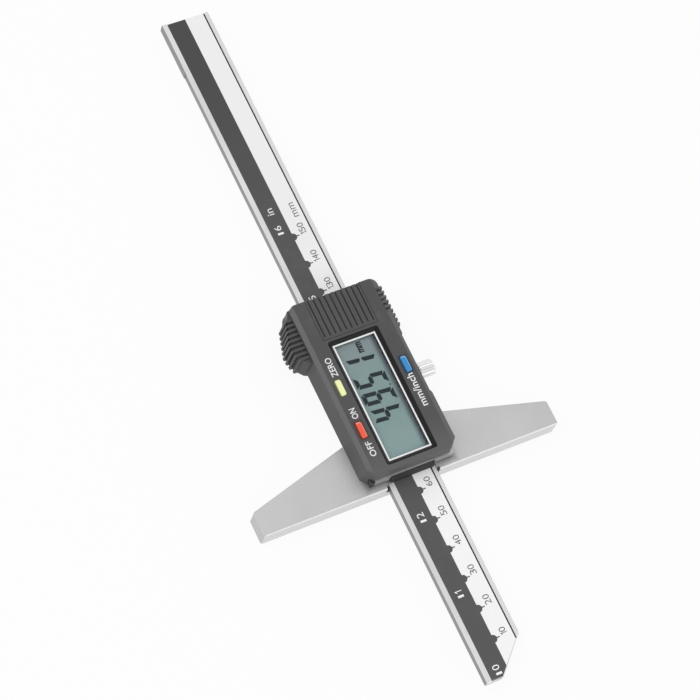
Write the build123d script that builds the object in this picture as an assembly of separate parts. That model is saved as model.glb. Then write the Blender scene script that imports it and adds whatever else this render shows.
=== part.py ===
"""Digital depth gauge: a T-shaped steel frame carrying a sliding beam and a display module.

Millimetres.  The gauge lies on its back.  X runs along the measuring face, Y up the beam
towards its tail, and Z out of the front.  The origin is on the measuring face, on the beam's
centre line, in the middle of the steel bridge that passes behind the beam.
"""
import os
from math import cos, pi, sin, sqrt

from build123d import *

# ---------------------------------------------------------------- steel frame
base_length = 100.0          # measuring face, end to end
base_end_height = 8.2        # wing, at its outer end
base_root_height = 17.9      # wing, where it meets the stem
base_thickness = 6.7
bridge_thickness = 3.5       # steel left behind the beam channel
stem_width = 27.0
stem_length = 61.5           # from the measuring face to the tail end of the stem
wing_corner = 0.5            # cut off the outer corners of the wings
frame_edge = 0.3             # broken edge round the frame's front and back
mouth_relief_width = 0.9     # undercut beside the beam at the measuring face
mouth_relief_height = 1.1

# ---------------------------------------------------------------- beam
beam_width = 16.0
beam_thickness = 3.0
beam_tail_length = 18.7      # the unground end, above the tail shoulder
beam_depth_at_rest = 65.3    # how far the tip stands out of the measuring face
beam_depth_max = 153.8       # where the tail shoulder meets the stem
tip_flat_width = 5.6         # square end of the tip; the rest is cut at 45 degrees
shoulder_step = 0.25         # the tail is left wider than the ground guide edges
shoulder_stop_gap = 0.2      # left between shoulder and stem at full depth
beam_edge = 0.2
recess_width = 13.0          # shallow channel that holds the scale
recess_shift = 0.15          # the channel sits this far right of the centre line
recess_depth = 0.6
scale_thickness = 0.4        # etched scale board under the printed film
label_width = 12.5
label_thickness = 0.12
label_end_margin = 0.3
guide_gap = 0.05             # running clearance between the beam and its guides

# ---------------------------------------------------------------- gib and lock
gib_thickness = 1.2
gib_length = 54.0
gib_end_margin = 4.0         # from the measuring face to the gib pocket
gib_back_gap = 0.2           # room behind the gib
gib_edge_gap = 0.15
gib_screw_radius = 1.2
gib_screw_spacing = 16.0     # the two gib screws straddle the lock screw
gib_screw_slot = 0.4
lock_y = 31.7                # the lock screw's distance above the measuring face
lock_drop = 2.0              # the screws' axis, below the beam's front
lock_shank_radius = 1.45
lock_thread_gap = 0.05       # radial clearance in the tapped holes
lock_collar_radius = 2.0
lock_collar_length = 0.8
lock_head_radius = 2.8
lock_head_length = 5.3
lock_head_start = 17.0       # from the centre line to the knurled head
lock_knurls = 20
lock_knurl_depth = 0.22
lock_pad_radius = 1.4
lock_pad_length = 1.0
lock_nose_radius = 0.6
lock_nose_length = 0.6
lock_pad_gap = 0.15          # between the slack pad and the gib
lock_pitch = 0.5             # travel for one turn of the screw

# ---------------------------------------------------------------- module chassis and wiper
chassis_width = 28.0
chassis_thickness = 3.15
chassis_low = 2.4            # its lower edge, above the measuring face
chassis_tail_margin = 0.3    # from its tail edge to the stem's
wiper_width = 14.6
wiper_drop = 0.95            # how far the wiper stands out below the chassis
wiper_lip = 0.6
wiper_top_drop = 0.3
wiper_beam_gap = 0.25

# ---------------------------------------------------------------- moulded housing
module_height = 8.0          # front face above the beam's front
module_face_width = 26.6
module_shoulder_width = 29.7 # below the shallow bevel round the front face
module_belt_width = 31.8     # widest line of the skirt, level with the beam's front
module_foot_width = 30.0     # lower rim of the skirt
module_face_low = 4.3        # front face, lower edge above the measuring face
module_low = 2.95            # lower wall
module_tail_reach = 0.4      # from the stem's tail edge to the front face's
face_edge_drop = 0.5         # height of the bevel round the front face
module_wall = 1.4
module_shoulder_step = 0.3   # the tail wall's top edge, beyond the front face
module_tail_slope = 0.6      # the tail wall's foot, beyond the front face
face_corner_cut = 1.0        # flat corners of the front face, at the base end
module_corner_cut = 2.6      # flat corners of the walls, at the base end
module_corner_round = 2.5    # round corners at the tail end
skirt_drop = 2.6             # the skirt reaches this far below the beam's front
part_gap = 0.1               # between moulded and steel parts that seat together
lock_window_length = 19.4    # cut-out in the right skirt for the screws
lock_window_rise = 1.6       # its top edge above the beam's front
lock_relief_depth = 0.5
lock_relief_run = 0.8        # length of the slope at each end of the relief

# ---------------------------------------------------------------- thumb grip and ribbed edge
grip_drop = 1.3              # the tops of the thumb grip's fins, below the front face
grip_wide_rise = 0.5         # the widest line, above the skirt's lower rim
grip_reach = 5.2             # widest line, out from the housing's shoulder
grip_flare = 0.55            # the shelf's edge stands this far in from the widest line
grip_foot_inset = 0.5        # the lower rim stands this far in from the widest line
grip_length = 19.0           # along the side wall
grip_peak_length = 11.2      # from its tail end to where it reaches furthest
grip_knee_length = 3.2       # from its tail end to the last fin
grip_knee_reach = 2.8
grip_tail_reach = 0.15
fin_pitch = 1.61
fin_width = 0.75
fin_depth = 0.75
fin_rise = 0.5               # fins above the shelf
fin_count = 9
edge_notch_drop = 1.0        # floor of the notch over the ribbed edge, below the front face
edge_notch_fins = 6          # fins that stand in the notch

# ---------------------------------------------------------------- display
window_width = 13.4          # clear opening
window_low_margin = 3.45     # from the lower wall to the clear opening
window_high_margin = 2.8     # from the clear opening to the battery door
display_line = 0.5           # white line round the window
display_line_thickness = 0.08
bezel_slope = 1.2            # sloping black border
bezel_drop = 1.0             # the white line lies this far below the front face
opening_round = 0.8          # round corners of the hole in the housing
bezel_edge = 0.3             # width of the border's upper edge
bezel_flange = 0.55
bezel_flange_thickness = 0.5
lens_thickness = 0.6
lcd_depth = 1.1              # below the white line
lcd_thickness = 1.1
lcd_margin = 0.85            # glass hidden behind the border on each side
zebra_width = 1.2

# ---------------------------------------------------------------- buttons
button_x = 11.1
upper_button_y = 32.3
lower_button_y = 17.7
button_width = 2.1
button_length = 5.3
button_round = 0.6
button_proud = 0.3
button_edge = 0.25
button_gap = 0.15
button_flange = 0.35
button_flange_thickness = 0.55
button_stem_radius = 0.8
button_travel = 0.4
dome_radius = 1.7
dome_crown_radius = 0.9
dome_height = 0.4

# ---------------------------------------------------------------- boards, battery and its door
board_thickness = 1.0
board_margin = 0.5
sensor_width = 19.8
sensor_low = 8.0
sensor_gap = 0.25            # between the sensor board and the beam
link_width = 10.0
link_depth = 1.5
cell_radius = 5.8
cell_height = 5.4
cell_tail_margin = 2.05      # from the battery tray to the tail edge of the front face
cell_can_height = 4.3        # wide part of the cell; the cap stands on it
cell_cap_radius = 4.9
cell_edge = 0.3
tray_wall = 0.6
tray_floor = 0.4
tray_gap = 0.15
contact_thickness = 0.15
contact_width = 3.0
contact_length = 8.7
side_contact_thickness = 0.1
side_contact_height = 3.0
door_width = 18.4
door_length = 13.8
door_thickness = 0.8
door_tongue = 0.8            # side tongue, in width
door_tongue_thickness = 0.75
door_gap = 0.12
door_flange_drop = 2.6       # end flange, below the door's tongue
door_flange_thickness = 0.9
door_travel = 14.0
door_groove_count = 10
door_groove_width = 0.45
door_groove_depth = 0.35
rail_width = 1.6
rail_thickness = 0.8

# ---------------------------------------------------------------- module screws
screw_x = 11.3
screw_low_y = 8.6
screw_tail_margin = 9.9      # from the upper screws to the stem's tail end
screw_radius = 0.95
screw_head_radius = 1.9
screw_hole_gap = 0.1
boss_radius = 2.1
boss_roof = 0.6              # boss material left above the screw's end
drive_width = 0.5
drive_depth = 0.7

# ---------------------------------------------------------------- places worked out from the sizes
back_z = -bridge_thickness / 2
floor_z = bridge_thickness / 2
frame_front_z = back_z + base_thickness
beam_back_z = floor_z + guide_gap
beam_front_z = beam_back_z + beam_thickness
guide_x = beam_width / 2 + guide_gap
gib_outer_x = guide_x + gib_thickness
gib_pocket_x = gib_outer_x + gib_back_gap
stem_x = stem_width / 2
tip_y = -beam_depth_at_rest
shoulder_y = stem_length + shoulder_stop_gap + beam_depth_max - beam_depth_at_rest
tail_y = shoulder_y + beam_tail_length

chassis_top_z = frame_front_z + chassis_thickness
chassis_x = chassis_width / 2
chassis_high = stem_length - chassis_tail_margin
face_z = beam_front_z + module_height
shoulder_z = face_z - face_edge_drop
foot_z = beam_front_z - skirt_drop
ceiling_z = face_z - module_wall
shoulder_x = module_shoulder_width / 2
chassis_room_x = chassis_x + part_gap
cavity_x = shoulder_x - module_wall
module_face_high = stem_length + module_tail_reach
foot_high = module_face_high + module_tail_slope
grip_low = stem_length - grip_length
grip_peak = stem_length - grip_peak_length
grip_knee = stem_length - grip_knee_length
grip_top_z = face_z - grip_drop
screw_high_y = stem_length - screw_tail_margin
cell_y = module_face_high - cell_tail_margin - tray_wall - cell_radius
door_low = module_face_high - door_length
window_low = module_low + window_low_margin
window_high = door_low - window_high_margin
window_length = window_high - window_low
display_y = (window_low + window_high) / 2
screw_axis_z = beam_front_z - lock_drop
cavity_low = module_low + module_wall
line_z = face_z - bezel_drop
lcd_top_z = line_z - lcd_depth
board_top_z = chassis_top_z + board_thickness
sensor_bottom_z = beam_front_z + sensor_gap
sensor_top_z = sensor_bottom_z + board_thickness
tray_low = cell_y - cell_radius - tray_wall
board_high = tray_low - board_margin
sensor_high = board_high - board_margin
door_bottom_z = face_z - door_thickness - door_tongue_thickness
screw_tip_z = ceiling_z - boss_roof
tray_bottom_z = sensor_bottom_z
contact_z = tray_bottom_z + tray_floor
cell_bottom_z = contact_z + contact_thickness


def block(x_range, y_range, z_range):
    """Box between the given limits."""
    size = [high - low for low, high in (x_range, y_range, z_range)]
    middle = [(high + low) / 2 for low, high in (x_range, y_range, z_range)]
    return Pos(*middle) * Box(*size)


def prism(points, z_low, z_high):
    """Upright prism on a closed outline of straight sides."""
    outline = Plane.XY.offset(z_low) * make_face(Polyline(*points, close=True))
    return extrude(outline, z_high - z_low)


def rounded_block(center, size, radius, z_low, z_high):
    """Upright block with rounded corners."""
    outline = Pos(center[0], center[1], z_low) * RectangleRounded(size[0], size[1], radius)
    return extrude(outline, z_high - z_low)


def rod(radius, start_x, end_x, y, z):
    """Round bar along X."""
    middle = Pos((start_x + end_x) / 2, y, z)
    return middle * Rot(0, 90, 0) * Cylinder(radius, end_x - start_x)


def post(radius, x, y, z_low, z_high):
    """Round bar along Z."""
    return Pos(x, y, (z_low + z_high) / 2) * Cylinder(radius, z_high - z_low)


# ---------------------------------------------------------------- steel frame
def frame_outline():
    """Plan of the T: stem and two wings that taper to their ends."""
    end_x = base_length / 2
    cut = wing_corner
    right = [(end_x - cut, 0), (end_x, cut), (end_x, base_end_height - cut),
             (end_x - cut, base_end_height), (stem_x, base_root_height), (stem_x, stem_length)]
    left = [(-x, y) for x, y in reversed(right)]
    return right + left


def make_t_frame():
    body = prism(frame_outline(), back_z, frame_front_z)
    broken = body.faces().filter_by(Axis.Z).edges()
    body = chamfer(broken, frame_edge)
    channel_z = (floor_z, frame_front_z + frame_edge)
    body -= block((-guide_x, guide_x), (-frame_edge, stem_length + frame_edge), channel_z)
    pocket_y = (gib_end_margin, stem_length + frame_edge)
    body -= block((0, gib_pocket_x), pocket_y, channel_z)
    for side in (-1, 1):
        relief_x = sorted((side * guide_x, side * (guide_x + mouth_relief_width)))
        body -= block(relief_x, (-frame_edge, mouth_relief_height), channel_z)
    bores = [(gib_screw_radius, y) for y in gib_screw_places()] + [(lock_shank_radius, lock_y)]
    for radius, y in bores:
        body -= rod(radius + lock_thread_gap, gib_outer_x, stem_x + frame_edge, y, screw_axis_z)
    for x, y in screw_places():
        body -= post(screw_radius + screw_hole_gap, x, y, back_z - 1, frame_front_z + 1)
        body -= Pos(x, y, 0) * screw_head(screw_head_radius + screw_hole_gap)
    return body


def gib_screw_places():
    return [lock_y - gib_screw_spacing / 2, lock_y + gib_screw_spacing / 2]


def make_gib_strip():
    low = gib_end_margin + gib_edge_gap
    return block((guide_x, gib_outer_x), (low, low + gib_length),
                 (floor_z + gib_edge_gap, frame_front_z - gib_edge_gap))


def make_gib_screw(y):
    """Slotted set screw, flush with the side of the stem."""
    body = rod(gib_screw_radius, gib_outer_x, stem_x, y, screw_axis_z)
    slot_x = (stem_x - 2 * gib_screw_slot, stem_x + gib_screw_slot)
    slot_y = (y - gib_screw_radius - 1, y + gib_screw_radius + 1)
    slot_z = (screw_axis_z - gib_screw_slot / 2, screw_axis_z + gib_screw_slot / 2)
    return body - block(slot_x, slot_y, slot_z)


# ---------------------------------------------------------------- beam
def beam_outline(inset=0.0):
    """Plan of the beam: square tail, tip with a flat end and a 45 degree bevel."""
    half = beam_width / 2 - inset
    tip = tip_y + inset
    flat_x = tip_flat_width - beam_width / 2 - inset * (sqrt(2) - 1)
    return [(-half, tip), (flat_x, tip), (half, tip + half - flat_x), (half, tail_y - inset),
            (-half, tail_y - inset)]


def make_beam():
    body = prism(beam_outline(), beam_back_z, beam_front_z)
    body = chamfer(body.edges(), beam_edge)
    tail_x = (-beam_width / 2 - shoulder_step, 0)
    tail = block(tail_x, (shoulder_y, tail_y), (beam_back_z, beam_front_z))
    tail = chamfer(tail.edges().filter_by(Axis.Y).group_by(Axis.X)[0], beam_edge)
    tail = chamfer(tail.edges().filter_by(Axis.Z).group_by(Axis.X)[0], beam_edge)
    body += tail
    recess_x = (recess_shift - recess_width / 2, recess_shift + recess_width / 2)
    recess_y = (tip_y - 1, tail_y + 1)
    return body - block(recess_x, recess_y, (beam_front_z - recess_depth, beam_front_z + 1))


def label_strip(z_low, z_high, end_margin):
    """Strip as long as the beam, pushed against the left side of the recess."""
    left = recess_shift - recess_width / 2 + guide_gap
    band = block((left, left + label_width), (tip_y - 1, tail_y + 1), (z_low, z_high))
    return band & prism(beam_outline(end_margin), z_low, z_high)


def make_scale_board():
    low = beam_front_z - recess_depth
    return label_strip(low, low + scale_thickness, label_end_margin)


def make_scale_label():
    low = beam_front_z - recess_depth + scale_thickness
    return label_strip(low, low + label_thickness, label_end_margin)


# ---------------------------------------------------------------- lock screw
def make_lock_screw():
    """Knurled thumb screw with a nose that turns inside the pad."""
    pad_end = gib_outer_x + lock_pad_gap + lock_pad_length
    shank_start = pad_end + lock_thread_gap
    body = rod(lock_shank_radius, shank_start, lock_head_start, lock_y, screw_axis_z)
    body += rod(lock_nose_radius, shank_start - lock_nose_length, shank_start, lock_y, screw_axis_z)
    collar_start = lock_head_start - lock_collar_length
    body += rod(lock_collar_radius, collar_start, lock_head_start, lock_y, screw_axis_z)
    end = lock_head_start + lock_head_length
    head = rod(lock_head_radius, lock_head_start, end, lock_y, screw_axis_z)
    head = chamfer(head.edges().filter_by(GeomType.CIRCLE), 2 * lock_knurl_depth)
    for index in range(lock_knurls):
        angle = 2 * pi * index / lock_knurls
        y = lock_y + lock_head_radius * cos(angle)
        z = screw_axis_z + lock_head_radius * sin(angle)
        groove = Pos((lock_head_start + end) / 2, y, z) * Rot(360 * index / lock_knurls, 0, 0)
        groove *= Rot(45, 0, 0) * Box(lock_head_length + 1, lock_knurl_depth * 2,
                                      lock_knurl_depth * 2)
        head -= groove
    return body + head


def make_lock_pad():
    """Brass pad that the screw pushes against the gib."""
    start = gib_outer_x + lock_pad_gap
    end = start + lock_pad_length
    body = rod(lock_pad_radius, start, end, lock_y, screw_axis_z)
    socket_start = end - lock_nose_length
    socket = rod(lock_nose_radius + lock_thread_gap, socket_start, end + 1, lock_y, screw_axis_z)
    return body - socket


# ---------------------------------------------------------------- chassis and wiper
def screw_places():
    return [(side * screw_x, y) for side in (-1, 1) for y in (screw_low_y, screw_high_y)]


def screw_head(radius):
    """Countersunk head, its flat side level with the back of the frame."""
    height = radius - screw_radius
    cone = Cone(radius, screw_radius, height, align=(Align.CENTER, Align.CENTER, Align.MIN))
    return Pos(0, 0, back_z) * cone


def make_chassis():
    """Steel plate that closes the beam channel and carries the electronics."""
    body = block((-chassis_x, chassis_x), (chassis_low, chassis_high),
                 (frame_front_z, chassis_top_z))
    sensor_x = sensor_width / 2 + part_gap
    body -= block((-sensor_x, sensor_x), (sensor_low - part_gap, sensor_high + part_gap),
                  (frame_front_z - 1, sensor_top_z))
    link_x = link_width / 2 + part_gap
    window_y = (sensor_low + board_margin, sensor_high - board_margin)
    body -= block((-link_x, link_x), window_y, (frame_front_z, chassis_top_z + 1))
    tray_x = cell_radius + tray_wall + tray_gap
    tray_y = (tray_low - tray_gap, cell_y + cell_radius + tray_wall + tray_gap)
    body -= block((-tray_x, tray_x), tray_y, (frame_front_z - 1, chassis_top_z + 1))
    for x, y in screw_places():
        body -= post(screw_radius + screw_hole_gap, x, y, frame_front_z - 1, chassis_top_z + 1)
    return body


def make_wiper():
    """Lip over the beam where it leaves the module."""
    bottom = beam_front_z + wiper_beam_gap
    outer = chassis_low - wiper_drop
    profile = [(chassis_low, bottom), (outer, bottom), (outer, bottom + wiper_lip),
               (chassis_low - wiper_top_drop, chassis_top_z), (chassis_low, chassis_top_z)]
    points = [(-wiper_width / 2, y, z) for y, z in profile]
    return extrude(make_face(Polyline(*points, close=True)), wiper_width, dir=(1, 0, 0))


# ---------------------------------------------------------------- moulded housing
def module_section(z, width, low, high, cut):
    """Plan of the module at one height: cut corners at the base end, round at the tail."""
    half = width / 2
    bend = module_corner_round
    half_bend = bend * (1 - sqrt(0.5))
    outline = [
        Line((-half + cut, low), (half - cut, low)),
        Line((half - cut, low), (half, low + cut)),
        Line((half, low + cut), (half, high - bend)),
        ThreePointArc((half, high - bend), (half - half_bend, high - half_bend),
                      (half - bend, high)),
        Line((half - bend, high), (-half + bend, high)),
        ThreePointArc((-half + bend, high), (-half + half_bend, high - half_bend),
                      (-half, high - bend)),
        Line((-half, high - bend), (-half, low + cut)),
        Line((-half, low + cut), (-half + cut, low)),
    ]
    return Plane.XY.offset(z) * make_face(outline)


def module_shape():
    """Outside of the housing, from the skirt's lower rim to the front face."""
    cut = module_corner_cut
    return loft([
        module_section(foot_z, module_foot_width, module_low, foot_high, cut),
        module_section(beam_front_z, module_belt_width, module_low, foot_high, cut),
        module_section(shoulder_z, module_shoulder_width, module_low,
                       module_face_high + module_shoulder_step, cut),
        module_section(face_z, module_face_width, module_face_low, module_face_high,
                       face_corner_cut),
    ], ruled=True)


def grip_reach_at(y):
    """How far the thumb grip stands out at one place: a rounded belly, then straight runs."""
    if y < grip_peak:
        rise = (grip_peak - y) / (grip_peak - grip_low)
        return grip_reach * sqrt(1 - rise ** 2)
    if y < grip_knee:
        fall = (y - grip_peak) / (grip_knee - grip_peak)
        return grip_reach + (grip_knee_reach - grip_reach) * fall
    fall = (y - grip_knee) / grip_knee_length
    return grip_knee_reach + (grip_tail_reach - grip_knee_reach) * fall


def grip_levels(top_z):
    """Height of the lower rim, the widest line and the top, each with its step inwards."""
    return [(foot_z, grip_foot_inset), (foot_z + grip_wide_rise, 0.0), (top_z, grip_flare)]


def grip_x(y, inset):
    """Distance of the grip's flank from the centre line, never behind the side wall's middle."""
    return max(shoulder_x + grip_reach_at(y) - inset, shoulder_x - module_wall / 2)


def fin_places():
    return [grip_knee - index * fin_pitch for index in range(fin_count)]


def make_grip_core():
    """Plain body of the thumb grip, behind and below the fins."""
    places = sorted([grip_low, *fin_places(), grip_low + fin_width])
    root_x = shoulder_x - module_wall / 2
    sections = []
    for z, inset in grip_levels(grip_top_z - fin_rise):
        flank = [(-grip_x(y, inset + fin_depth), y) for y in places]
        tail_corner = (-shoulder_x - grip_tail_reach, stem_length)
        points = [(part_gap - root_x, grip_low), *flank, tail_corner,
                  (part_gap - root_x, stem_length)]
        sections.append(Plane.XY.offset(z) * make_face(Polyline(*points, close=True)))
    return loft(sections, ruled=True)


def extruded_fin(points, y):
    """Fin with the given outline in x and z, centred on y."""
    outline = [(x, y - fin_width / 2, z) for x, z in points]
    return extrude(make_face(Polyline(*outline, close=True)), fin_width, dir=(0, 1, 0))


def make_grip_fin(y):
    """One stepped fin, standing across the thumb shelf and down its flank."""
    root_x = module_wall / 2 - shoulder_x
    flank = [(-grip_x(y, inset), z) for z, inset in grip_levels(grip_top_z)]
    return extruded_fin([(root_x, foot_z), *flank, (root_x, grip_top_z)], y)


def make_edge_fin(y):
    """One upright rib on the other side wall."""
    root_x = module_face_width / 2
    points = [(root_x, foot_z), (module_foot_width / 2 + fin_depth, foot_z),
              (module_belt_width / 2 + fin_depth, beam_front_z),
              (shoulder_x + fin_depth, shoulder_z), (root_x, shoulder_z)]
    return extruded_fin(points, y)


def edge_notch():
    """Step cut in the bevel over the ribs nearest the tail."""
    low = grip_knee - (edge_notch_fins - 1) * fin_pitch - fin_width / 2
    return block((module_face_width / 2, module_belt_width), (low, grip_knee),
                 (face_z - edge_notch_drop, face_z + 1))


def make_housing():
    body = module_shape() - edge_notch()
    body += make_grip_core()
    body += [make_grip_fin(y) for y in fin_places()]
    body += [make_edge_fin(y) for y in fin_places()]
    far = base_length
    # room for the wings, the stem, the chassis and the beam
    wing_top = base_root_height + part_gap
    body -= block((-far, far), (-far, wing_top), (foot_z - 1, frame_front_z + part_gap / 2))
    stem_room = stem_x + part_gap
    body -= block((-stem_room, stem_room), (-far, far), (foot_z - 1, frame_front_z + part_gap))
    body -= block((-chassis_room_x, chassis_room_x), (-far, chassis_high + part_gap),
                  (frame_front_z, chassis_top_z))
    body -= block((-cavity_x, cavity_x), (cavity_low, chassis_high - part_gap),
                  (chassis_top_z - 1, ceiling_z))
    # display opening
    opening = display_opening()
    body -= rounded_block((0, display_y), opening, opening_round, ceiling_z - 1, face_z + 1)
    body += [post(boss_radius, x, y, chassis_top_z, ceiling_z) for x, y in screw_places()]
    body += door_rails()
    for x, y in screw_places():
        body -= post(screw_radius + screw_hole_gap / 2, x, y, chassis_top_z - 1, screw_tip_z)
    body -= door_room()
    for x, y, _ in button_places():
        size = (button_width + 2 * button_gap, button_length + 2 * button_gap)
        body -= rounded_block((x, y), size, button_round + button_gap, ceiling_z - 1, face_z + 1)
    # lock screw window and the shallow relief above it
    window_y = (lock_y - lock_window_length / 2, lock_y + lock_window_length / 2)
    body -= block((stem_x, far), window_y, (foot_z - 1, beam_front_z + lock_window_rise))
    body -= lock_relief(window_y)
    return body


def lock_relief(window_y):
    """Shallow scoop in the right flank, up through the bevel round the front face."""
    low, high = window_y
    profile = [(low - lock_relief_run, 0.0), (low, lock_relief_depth), (high, lock_relief_depth),
               (high + lock_relief_run, 0.0)]
    sections = []
    for z, width in ((foot_z, module_belt_width), (face_z, module_shoulder_width)):
        inner = [(width / 2 - depth, y) for y, depth in profile]
        outer = [(module_belt_width, high + lock_relief_run), (module_belt_width, low - lock_relief_run)]
        sections.append(Plane.XY.offset(z) * make_face(Polyline(*inner, *outer, close=True)))
    return loft(sections, ruled=True)


# ---------------------------------------------------------------- display
def display_opening():
    """Width and length of the hole in the housing."""
    border = 2 * (display_line + bezel_slope + part_gap)
    return window_width + border, window_length + border


def make_bezel():
    """Black border: a slope down to a flat land round the window, and a flange below."""
    width, length = display_opening()
    outer = (width - part_gap, length - part_gap)
    top_z = face_z - part_gap / 2
    body = rounded_block((0, display_y), outer, opening_round, lcd_top_z, top_z)
    flange = (outer[0] + 2 * bezel_flange, window_length)
    flange_top = ceiling_z - part_gap / 2
    flange_bottom = flange_top - bezel_flange_thickness
    body += rounded_block((0, display_y), flange, opening_round, flange_bottom, flange_top)
    land = (window_width + 2 * display_line, window_length + 2 * display_line)
    rim = (outer[0] - 2 * bezel_edge, outer[1] - 2 * bezel_edge)
    body -= loft([Pos(0, display_y, line_z) * Rectangle(*land),
                  Pos(0, display_y, top_z + part_gap) * Rectangle(*rim)], ruled=True)
    window_z = (lcd_top_z - 1, face_z + 1)
    body -= window_block(0.0, window_z)
    return body


def window_block(margin, z_range):
    """Block as large as the window, grown by a margin."""
    half_width = window_width / 2 + margin
    half_length = window_length / 2 + margin
    return block((-half_width, half_width), (display_y - half_length, display_y + half_length),
                 z_range)


def make_display_line():
    """White line printed round the window."""
    heights = (line_z, line_z + display_line_thickness)
    return window_block(display_line, heights) - window_block(0.0, (line_z - 1, line_z + 1))


def make_lens():
    return window_block(-part_gap / 2, (lcd_top_z, lcd_top_z + lens_thickness))


def make_lcd():
    return window_block(lcd_margin, (lcd_top_z - lcd_thickness, lcd_top_z))


def make_zebra(side):
    """Rubber contact strip between the board and one long edge of the glass."""
    outer = window_width / 2 + lcd_margin
    x_range = sorted((side * outer, side * (outer - zebra_width)))
    half_length = window_length / 2
    return block(x_range, (display_y - half_length, display_y + half_length),
                 (board_top_z, lcd_top_z - lcd_thickness))


# ---------------------------------------------------------------- buttons
def button_places():
    """Place of each button and its name."""
    return [(-button_x, upper_button_y, "zero"), (-button_x, lower_button_y, "power"),
            (button_x, upper_button_y, "units")]


def make_button(x, y):
    """Cap, retaining flange and a stem that pushes the dome."""
    size = (button_width, button_length)
    flange_top = ceiling_z - button_gap
    body = rounded_block((x, y), size, button_round, flange_top, face_z + button_proud)
    body = chamfer(body.faces().sort_by(Axis.Z)[-1].edges(), button_edge)
    flange_bottom = flange_top - button_flange_thickness
    half_width, half_length = [edge / 2 + button_gap + button_flange for edge in size]
    body += block((x - half_width, x + half_width), (y - half_length, y + half_length),
                  (flange_bottom, flange_top))
    stem_end = board_top_z + dome_height + button_travel + part_gap / 2
    return body + post(button_stem_radius, x, y, stem_end, flange_bottom)


def make_dome(x, y):
    """Metal dome of a push switch, on the board."""
    middle = Pos(x, y, board_top_z + dome_height / 2)
    return middle * Cone(dome_radius, dome_crown_radius, dome_height)


# ---------------------------------------------------------------- boards and battery
def make_main_board():
    half = cavity_x - board_margin
    body = block((-half, half), (cavity_low + part_gap, board_high), (chassis_top_z, board_top_z))
    for x, y in screw_places():
        body -= post(boss_radius + part_gap, x, y, chassis_top_z - 1, board_top_z + 1)
    return body


def make_sensor_board():
    half = sensor_width / 2
    return block((-half, half), (sensor_low, sensor_high), (sensor_bottom_z, sensor_top_z))


def make_board_link():
    """Pin header between the two boards."""
    half = link_width / 2
    low = sensor_low + board_margin + part_gap
    return block((-half, half), (low, low + link_depth), (sensor_top_z, chassis_top_z))


def make_battery_tray():
    half = cell_radius + tray_wall
    top = door_bottom_z - rail_thickness
    body = block((-half, half), (cell_y - half, cell_y + half), (tray_bottom_z, top))
    return body - post(cell_radius + tray_gap, 0, cell_y, contact_z, top + 1)


def make_battery_cell():
    """Button cell: wide can below, insulating step, smaller cap above."""
    can = post(cell_radius, 0, cell_y, cell_bottom_z, cell_bottom_z + cell_can_height)
    can = chamfer(can.edges().group_by(Axis.Z)[-1], cell_edge)
    return can + post(cell_cap_radius, 0, cell_y, cell_bottom_z, cell_bottom_z + cell_height)


def make_bottom_contact():
    return block((-contact_width / 2, contact_width / 2),
                 (cell_y - contact_length / 2, cell_y + contact_length / 2),
                 (contact_z, contact_z + contact_thickness))


def make_side_contact():
    """Leaf on the tray's wall that touches the side of the can."""
    low = cell_y - cell_radius - side_contact_thickness
    bottom = contact_z + contact_thickness
    leaf = block((-contact_width / 2, contact_width / 2), (low - tray_gap, low + contact_width),
                 (bottom, bottom + side_contact_height))
    leaf &= post(cell_radius + tray_gap, 0, cell_y, bottom, bottom + side_contact_height)
    return leaf - post(cell_radius + tray_gap - side_contact_thickness, 0, cell_y, bottom - 1,
                       bottom + side_contact_height + 1)


# ---------------------------------------------------------------- battery door
def door_plate(width, z_low, z_high):
    half = width / 2
    return block((-half, half), (door_low, module_face_high), (z_low, z_high))


def make_battery_door():
    """Grooved lid that slides off the tail end on two side tongues."""
    split_z = face_z - door_thickness
    body = door_plate(door_width, split_z, face_z)
    body += door_plate(door_width + 2 * door_tongue, door_bottom_z, split_z)
    flange_y = (module_face_high - door_flange_thickness, module_face_high)
    half = door_width / 2
    body += block((-half, half), flange_y, (door_bottom_z - door_flange_drop, split_z))
    pitch = door_width / door_groove_count
    for index in range(door_groove_count):
        x = (index - (door_groove_count - 1) / 2) * pitch
        groove_x = (x - door_groove_width / 2, x + door_groove_width / 2)
        groove_y = (door_low + pitch / 2, module_face_high + 1)
        body -= block(groove_x, groove_y, (face_z - door_groove_depth, face_z + 1))
    return body


def door_room():
    """Space that the door slides through, open at the tail end."""
    split_z = face_z - door_thickness + door_gap
    far = module_face_high + 2 * door_flange_thickness
    low = door_low - door_gap
    half = door_width / 2 + door_gap
    room = block((-half, half), (low, far), (door_bottom_z - door_gap, face_z + 1))
    wide = half + door_tongue
    room += block((-wide, wide), (low, far), (door_bottom_z - door_gap, split_z))
    flange_low = module_face_high - door_flange_thickness - door_gap
    room += block((-half, half), (flange_low, far),
                  (door_bottom_z - door_flange_drop - door_gap, face_z + 1))
    return room


def door_rails():
    """Two rails that carry the door's tongues."""
    half = door_width / 2 + door_gap + door_tongue
    top = door_bottom_z - door_gap
    rails = []
    for side in (-1, 1):
        x_range = sorted((side * (half - rail_width), side * (half + module_wall)))
        rails.append(block(x_range, (door_low - module_wall, chassis_high),
                           (top - rail_thickness + door_gap, ceiling_z)))
    return rails


# ---------------------------------------------------------------- module screws
def make_module_screw(x, y):
    """Countersunk screw with a cross recess, driven in from the back."""
    head_height = screw_head_radius - screw_radius
    body = screw_head(screw_head_radius)
    shank_length = screw_tip_z - part_gap - back_z - head_height
    shank_middle = back_z + head_height + shank_length / 2
    body += Pos(0, 0, shank_middle) * Cylinder(screw_radius, shank_length)
    for turn in (0, 90):
        cross = Box(2 * screw_radius, drive_width, 2 * drive_depth)
        body -= Pos(0, 0, back_z) * Rot(0, 0, turn) * cross
    return Pos(x, y, 0) * body


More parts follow.
